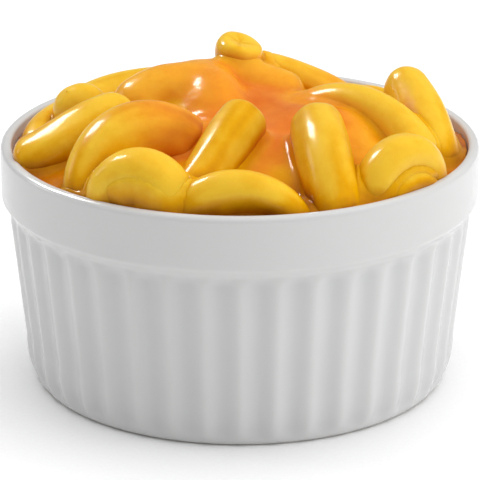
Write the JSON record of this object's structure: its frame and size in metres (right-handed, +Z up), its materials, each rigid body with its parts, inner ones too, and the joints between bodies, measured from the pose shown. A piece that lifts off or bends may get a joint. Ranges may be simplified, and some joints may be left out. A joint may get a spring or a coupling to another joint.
{
  "type": "mac and cheese",
  "caption": "Elbow macaroni in cheese sauce, heaped in a round fluted porcelain ramekin with a plain rim band.",
  "frame": {"origin": "middle of the ramekin's foot, on the surface it stands on", "axes": "+Z up through the dish; the front of the dish faces -Y; +X is to the right seen from the front"},
  "size_m": [0.09, 0.09, 0.0612],
  "materials": {
    "porcelain": "gloss white glaze over porcelain",
    "pasta": "wet, soft gloss, slightly translucent cooked pasta",
    "sauce": "smooth glossy melted cheese"
  },
  "bodies": {
    "root": {"ramekin": "porcelain", "macaroni": "pasta", "cheese_sauce": "sauce"}
  },
  "joints": []
}
